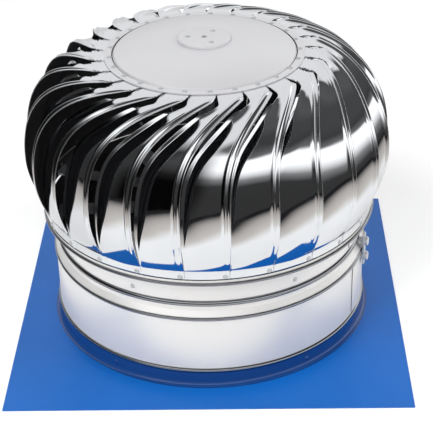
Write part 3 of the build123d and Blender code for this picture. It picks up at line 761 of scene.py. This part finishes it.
class COWL_OT_throat(bpy.types.Operator):
    """Lower pipe and the collar that is swaged into it."""

    bl_idname = "cowl.throat"
    bl_label = "Throat"

    def seam(self, s, shape, radius, bottom, top):
        """Lap seam, a strip up the wall."""
        inner = radius - s.seam_sink
        outer = radius + s.seam_rise
        strip = [(inner, bottom), (outer, bottom), (outer, top), (inner, top)]
        lathe(shape, strip, arc=s.seam_width / radius, steps=SEAM_STEPS, start=s.seam_azimuth)

    def pipe(self, s):
        """Lower pipe with its stop bead, hem and seam."""
        wall = s.throat_radius
        line = [(wall, 0)]
        line += bead(wall, s.upstand_height + s.stop_width / 2, s.stop_width, s.stop_rise)
        line += bead(wall, s.pipe_top - s.hem_width / 2, s.hem_width, s.hem_rise)
        shape = bmesh.new()
        lathe(shape, walled(line, s.throat_wall))
        foot = s.upstand_height + s.stop_width + s.seam_margin
        head = s.pipe_top - s.hem_width - s.seam_margin
        self.seam(s, shape, wall, foot, head)
        satin = shared(satin_steel)
        piece = finish_piece("throat_pipe", shape, satin, "base", ["neck_pipe"])
        # The pipe's beads take the darker steel: painted shade and painted dark reflection
        second_finish(
            piece,
            shared(bead_shade_steel),
            lambda spot: not foot <= spot.z <= head and spot.xy.length > wall + BEAD_SHADE_RISE,
        )
        dull_shaded_inside(piece)

    def collar(self, s):
        """Collar with its swage, bead, seam and the lip that flares inside the foot ring."""
        wall = s.collar_radius
        skirt = s.throat_radius - s.throat_wall - s.slip_fit
        half_bead = s.collar_bead_width / 2
        line = [(skirt, s.pipe_top - s.collar_overlap), (skirt, s.pipe_top)]
        line.append((wall, s.pipe_top + s.swage_rise))
        line += bead(wall, s.collar_bead, s.collar_bead_width, s.collar_bead_rise)
        line += [(wall, s.collar_top - s.lip_foot), (wall + s.lip_reach, s.collar_top + s.lip_rise)]
        shape = bmesh.new()
        lathe(shape, walled(line, s.throat_wall))
        foot = s.collar_bead + half_bead + s.seam_margin
        self.seam(s, shape, wall, foot, s.collar_top - s.seam_margin)
        satin = shared(satin_steel)
        piece = finish_piece("swaged_collar", shape, satin, "base", ["throat_collar"])
        # The collar's bead takes the darker steel: painted shade and painted dark reflection
        second_finish(
            piece,
            shared(bead_shade_steel),
            lambda spot: abs(spot.z - s.collar_bead) < half_bead and spot.xy.length > wall + BEAD_SHADE_RISE,
        )
        dull_shaded_inside(piece)

    def execute(self, context):
        s = sizes()
        self.pipe(s)
        self.collar(s)
        return {"FINISHED"}


class COWL_OT_foot_ring(bpy.types.Operator):
    """Hemmed ring at the foot of the rotor."""

    bl_idname = "cowl.foot_ring"
    bl_label = "Foot ring"

    def execute(self, context):
        s = sizes()
        line = bead(s.ring_radius, s.ring_bottom + s.ring_hem_width / 2, s.ring_hem_width, s.ring_hem_rise)
        line.append((s.ring_radius, s.ring_top))
        shape = bmesh.new()
        lathe(shape, walled(line, s.ring_sheet))
        satin = shared(satin_steel)
        piece = finish_piece("foot_ring", shape, satin, "rotor", ["rotor_ring"])
        # The ring's hem takes the darker steel: painted shade and painted dark reflection
        second_finish(piece, shared(bead_shade_steel), lambda spot: spot.xy.length > s.ring_radius + BEAD_SHADE_RISE)
        dull_shaded_inside(piece)
        return {"FINISHED"}


class COWL_OT_rotor_top(bpy.types.Operator):
    """Stepped dome and its hub cap."""

    bl_idname = "cowl.rotor_top"
    bl_label = "Rotor top"

    def dome(self, s, top):
        """Dome with a shallow groove at the foot of its step and a flat underside below the rim."""
        edge = s.step_radius - s.step_run / 2
        groove = s.step_radius + s.step_run / 2
        floor_end = groove + s.groove_floor
        groove_end = floor_end + s.groove_slope
        deep = s.rim_top - s.groove_depth
        line = [(s.rim_radius, s.rim_top), (groove_end, s.rim_top), (floor_end, deep), (groove, deep)]
        line.append((edge, s.rim_top + s.step_rise))
        for i in range(1, DOME_STEPS + 1):
            share = i / DOME_STEPS
            line.append((edge + (s.hub_flat - edge) * share, top - s.dome_rise * (1 - share) ** 2))
        line.append((s.hub_hole, top))
        underside = [(r, max(z, s.rim_top) - s.top_sheet) for r, z in reversed(line)]
        shape = bmesh.new()
        lathe(shape, line + underside)
        film = shared(filmed_steel)
        piece = finish_piece("top_dome", shape, film, "rotor", ["top_plate"], SHARP_DOME)
        # Half way through the sheet that is left below the groove
        below = (deep + s.rim_top - s.top_sheet) / 2
        # The groove's faces take the dark mill steel: painted shade in the groove
        second_finish(
            piece,
            shared(dull_shaded_steel),
            lambda spot: spot.z > below and groove < spot.xy.length < groove_end,
        )

    def hub(self, s, top):
        """Flat hub cap with a rounded edge."""
        seat = top + s.hub_seat
        lid = seat + s.hub_thickness
        middle = s.hub_radius - s.hub_edge
        level = lid - s.hub_edge
        cap = [(s.hub_hole, seat), (s.hub_radius, seat), (s.hub_radius, level)]
        for i in range(1, EDGE_STEPS + 1):
            turn = pi / 2 * i / EDGE_STEPS
            cap.append((middle + s.hub_edge * cos(turn), level + s.hub_edge * sin(turn)))
        cap.append((s.hub_hole, lid))
        shape = bmesh.new()
        lathe(shape, cap)
        finish_piece("hub_disc", shape, shared(filmed_steel), "rotor", ["hub_cap"])

    def execute(self, context):
        s = sizes()
        top = s.rim_top + s.step_rise + s.dome_rise
        self.dome(s, top)
        self.hub(s, top)
        return {"FINISHED"}


class COWL_OT_vanes(bpy.types.Operator):
    """Swept vanes with a rolled rib along each lip."""

    bl_idname = "cowl.vanes"
    bl_label = "Vanes"

    def execute(self, context):
        s = sizes()
        v = vane_sizes()
        for i in range(v.count):
            shape = vane_sheet(v, s, v.azimuth + 360 / v.count * i)
            piece = finish_piece(
                f"swept_vane_{i + 1:02d}",
                shape,
                shared(polished_steel),
                "rotor",
                [f"vane_{i + 1:02d}"],
                SHARP_VANE,
            )
            # The sheet's thickness goes inward, and its inner side takes the second material, the dull mill
            # steel darkened as painted shade.
            piece.data.materials.append(shared(dull_shaded_steel))
            sheet = piece.modifiers.new("sheet", "SOLIDIFY")
            sheet.thickness = v.thickness * MM
            sheet.offset = -1
            sheet.material_offset = 1
        return {"FINISHED"}


SATIN_NODES = ("neck_pipe", "throat_collar", "rotor_ring", "top_plate", "hub_cap")


class COWL_OT_hardware(bpy.types.Operator):
    """Finishes for the CAD nodes: rivets, bolts, bars, shaft and bearings, and the replaced sheets."""

    bl_idname = "cowl.hardware"
    bl_label = "Hardware"

    def execute(self, context):
        for name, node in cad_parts.items():
            maker = zinc_plate
            # The pipe's rivets on the upstand take the upstand's painted shade, so they sink into it
            if name == "pipe_rivets":
                maker = upstand_shade_coating
            elif name.endswith("rivets") or name == "bearing_housing":
                maker = rivet_metal
            elif name.endswith(("inner_ring", "outer_ring", "balls")):
                maker = bearing_metal
            elif name.startswith("vane_") or name in SATIN_NODES:
                maker = satin_steel
            elif name == "base_plate":
                maker = blue_coating
            node.data.materials.clear()
            node.data.materials.append(shared(maker))
        return {"FINISHED"}


# Stage values, with lengths in metres

# The wide floor is seen, and the near one, which fades away from the part, is only mirrored.
FLOOR_REACH = 8
FLOOR_DROP = 0.8 * MM
FLOOR_GLOW = 0.12
FLOOR_ROUGHNESS = 0.7
NEAR_FLOOR_RADIUS = 1.1
NEAR_FLOOR_STEPS = 96
NEAR_FLOOR_DROP = 0.4 * MM
NEAR_FLOOR_TONES = ((0.52, "#F0F0F0"), (0.62, "#C4BFB9"), (0.78, "#A49F9B"), (0.96, "#1C1C1E"))

# Behind the axis, distances on the near floor count only sideways.
FRONT_ONLY = (9, 0, 9)

# Brightness of the studio by the height of a direction, in front and behind
FRONT_SKY = (
    (0.0, 0.045),
    (0.2, 0.05),
    (0.33, 0.3),
    (0.44, 1.1),
    (0.54, 1.6),
    (0.74, 1.6),
    (0.79, 0.2),
    (0.9, 0.06),
    (1.0, 0.08),
)
BACK_SKY = ((0.0, 0.75), (0.27, 1.0), (0.85, 1.0), (0.9, 0.1), (1.0, 0.12))

# Ranges of a direction's X or Y over which the studio changes
BAND_SINKS = (0.1, 0.9)
BAND_DROP = 0.42
BACKDROP_STARTS = (-0.05, 0.15)
BACKDROP_ENDS = (0.3, 0.55)
LEFT_DARKENS = (-0.76, -0.6)
LEFT_STRENGTH = 0.05

# Lamps: name, power, size, place and target
LAMPS = (
    ("key_softbox", 58, (1.8, 1.8), (-1.5, -1.5, 2.2), (0, 0, 0.1)),
    ("fill_softbox", 20, (2.0, 0.6), (-1.9, -1.3, 0.5), (0, 0, 0.08)),
    ("side_softbox", 42, (1.4, 1.8), (2.0, -0.6, 1.6), (0, 0, 0.1)),
)

# Camera, fitted to the photo
CAMERA_AWAY = 1.5409
CAMERA_HEIGHT = 1.0447
CAMERA_AZIMUTH = radians(1.8)
CAMERA_PAN = radians(1.44)
CAMERA_PITCH = radians(30.89)
CAMERA_ROLL = radians(-1.41)
FOCAL_PIXELS = 1358.7
PHOTO_PIXELS = 433
SENSOR_WIDTH = 36
CLIP_END = 50


class COWL_OT_stage(bpy.types.Operator):
    """Pale floor, studio light and the camera."""

    bl_idname = "cowl.stage"
    bl_label = "Stage"

    def floor_piece(self, name, shape, drop, material):
        """Floor, set a little lower than the plate's underside."""
        mesh = bpy.data.meshes.new(name)
        shape.to_mesh(mesh)
        shape.free()
        mesh.materials.append(material)
        piece = bpy.data.objects.new(name, mesh)
        piece.location.z = -drop
        bpy.context.scene.collection.objects.link(piece)
        return piece

    def floor_material(self, name):
        """Matt material without a gloss."""
        material, tree, shader, place = new_material(name)
        shader.inputs["Roughness"].default_value = FLOOR_ROUGHNESS
        shader.inputs["Specular IOR Level"].default_value = 0.0
        return material, tree, shader, place

    def pale_floor(self):
        """Floor with a faint glow, which lightens the shadow on it."""
        material, _, shader, _ = self.floor_material("pale_floor")
        shader.inputs["Base Color"].default_value = finishes().floor
        shader.inputs["Emission Color"].default_value = finishes().floor
        shader.inputs["Emission Strength"].default_value = FLOOR_GLOW
        return material

    def fading_floor(self):
        """Floor that darkens away from the part, so the polished sheet mirrors a soft edge."""
        material, tree, shader, place = self.floor_material("fading_floor")
        front = add_node(tree, "ShaderNodeVectorMath", {0: place, 1: FRONT_ONLY}, operation="MINIMUM")
        away = add_node(tree, "ShaderNodeVectorMath", {0: front.outputs["Vector"]}, operation="LENGTH")
        stops = [(position, hex_colour(tone)) for position, tone in NEAR_FLOOR_TONES]
        tree.links.new(ramp(tree, away.outputs["Value"], stops), shader.inputs["Base Color"])
        return material

    def floor(self):
        """Wide floor for the eye, and the near part of it that the polished sheet mirrors."""
        shape = bmesh.new()
        bmesh.ops.create_grid(shape, x_segments=1, y_segments=1, size=FLOOR_REACH)
        wide = self.floor_piece("floor", shape, FLOOR_DROP, self.pale_floor())
        wide.visible_glossy = False
        shape = bmesh.new()
        bmesh.ops.create_circle(shape, cap_ends=True, segments=NEAR_FLOOR_STEPS, radius=NEAR_FLOOR_RADIUS)
        near = self.floor_piece("near_floor", shape, NEAR_FLOOR_DROP, self.fading_floor())
        near.visible_camera = False
        near.visible_diffuse = False
        near.visible_shadow = False

    def sky(self, tree, height, stops):
        """Grey by the height of a direction, from the horizon up."""
        return ramp(tree, height, [(position, (v, v, v, 1)) for position, v in stops])

    def surroundings(self):
        """Studio that the sheet mirrors: a bright band in front, a pale backdrop, a dark left side."""
        world = bpy.data.worlds.new("studio")
        bpy.context.scene.world = world
        world.use_nodes = True
        tree = world.node_tree
        tree.nodes.clear()
        direction = add_node(tree, "ShaderNodeTexCoord").outputs["Generated"]
        split = add_node(tree, "ShaderNodeSeparateXYZ", {"Vector": direction})
        across = split.outputs["X"]
        sunk = remap(tree, across, *BAND_SINKS, 0.0, BAND_DROP)
        height = combine(tree, "ADD", split.outputs["Z"], sunk)
        behind = remap(tree, split.outputs["Y"], *BACKDROP_STARTS)
        leftward = remap(tree, across, *BACKDROP_ENDS, 1.0, 0.0)
        backdrop = combine(tree, "MULTIPLY", behind, leftward)
        front_sky = self.sky(tree, height, FRONT_SKY)
        back_sky = self.sky(tree, height, BACK_SKY)
        mirrored = add_node(
            tree,
            "ShaderNodeBackground",
            {
                "Color": blend(tree, backdrop, front_sky, back_sky),
                "Strength": remap(tree, across, *LEFT_DARKENS, LEFT_STRENGTH, 1.0),
            },
        )
        # Behind the part, the eye sees plain white.
        seen = add_node(tree, "ShaderNodeBackground", {"Color": (1, 1, 1, 1), "Strength": 1.0})
        direct = add_node(tree, "ShaderNodeLightPath").outputs["Is Camera Ray"]
        shaders = {0: direct, 1: mirrored.outputs["Background"], 2: seen.outputs["Background"]}
        both = add_node(tree, "ShaderNodeMixShader", shaders)
        add_node(tree, "ShaderNodeOutputWorld", {"Surface": both.outputs["Shader"]})

    def lamp(self, name, power, size, place, target):
        """Softbox that lights the part and isn't mirrored in it."""
        light = bpy.data.lights.new(name, "AREA")
        light.energy = power
        light.shape = "RECTANGLE"
        light.size, light.size_y = size
        lamp = bpy.data.objects.new(name, light)
        lamp.location = place
        aim = Vector(target) - Vector(place)
        lamp.rotation_euler = aim.to_track_quat("-Z", "Y").to_euler()
        lamp.visible_glossy = False
        bpy.context.scene.collection.objects.link(lamp)

    def camera(self):
        """Camera at the photo's place, with its lens."""
        turn = Matrix.Rotation(CAMERA_PAN, 3, "Z")
        view = turn @ Vector((0, cos(CAMERA_PITCH), -sin(CAMERA_PITCH)))
        level = turn @ Vector((1, 0, 0))
        above = level.cross(view)
        right = level * cos(CAMERA_ROLL) + above * sin(CAMERA_ROLL)
        up = above * cos(CAMERA_ROLL) - level * sin(CAMERA_ROLL)
        turned = Matrix((right, up, -view)).transposed()
        place = (CAMERA_AWAY * sin(CAMERA_AZIMUTH), -CAMERA_AWAY * cos(CAMERA_AZIMUTH), CAMERA_HEIGHT)
        lens = bpy.data.cameras.new("photo_camera")
        lens.sensor_width = SENSOR_WIDTH
        lens.lens = FOCAL_PIXELS / PHOTO_PIXELS * SENSOR_WIDTH
        lens.clip_end = CLIP_END
        camera = bpy.data.objects.new("photo_camera", lens)
        camera.matrix_world = Matrix.Translation(place) @ turned.to_4x4()
        bpy.context.scene.collection.objects.link(camera)
        bpy.context.scene.camera = camera

    def execute(self, context):
        self.floor()
        self.surroundings()
        for softbox in LAMPS:
            self.lamp(*softbox)
        self.camera()
        context.scene.view_settings.view_transform = "Standard"
        return {"FINISHED"}


STEPS = (
    COWL_OT_hardware,
    COWL_OT_flashing,
    COWL_OT_throat,
    COWL_OT_foot_ring,
    COWL_OT_rotor_top,
    COWL_OT_vanes,
    COWL_OT_stage,
)


class COWL_PT_panel(bpy.types.Panel):
    """Lists the steps that dress the cowl."""

    bl_idname = "COWL_PT_panel"
    bl_label = "Chimney cowl"
    bl_space_type = "VIEW_3D"
    bl_region_type = "UI"
    bl_category = "Cowl"

    def draw(self, context):
        for step in STEPS:
            self.layout.operator(step.bl_idname)


CLASSES = (CowlSizes, CowlVane, CowlFinish, *STEPS, COWL_PT_panel)


def register():
    for item in CLASSES:
        bpy.utils.register_class(item)
    bpy.types.Scene.cowl_sizes = PointerProperty(type=CowlSizes)
    bpy.types.Scene.cowl_vane = PointerProperty(type=CowlVane)
    bpy.types.Scene.cowl_finish = PointerProperty(type=CowlFinish)


def unregister():
    del bpy.types.Scene.cowl_sizes
    del bpy.types.Scene.cowl_vane
    del bpy.types.Scene.cowl_finish
    for item in reversed(CLASSES):
        bpy.utils.unregister_class(item)


def main():
    register()
    for item in STEPS:
        group, step = item.bl_idname.split(".")
        getattr(getattr(bpy.ops, group), step)()


if __name__ == "__main__":
    main()
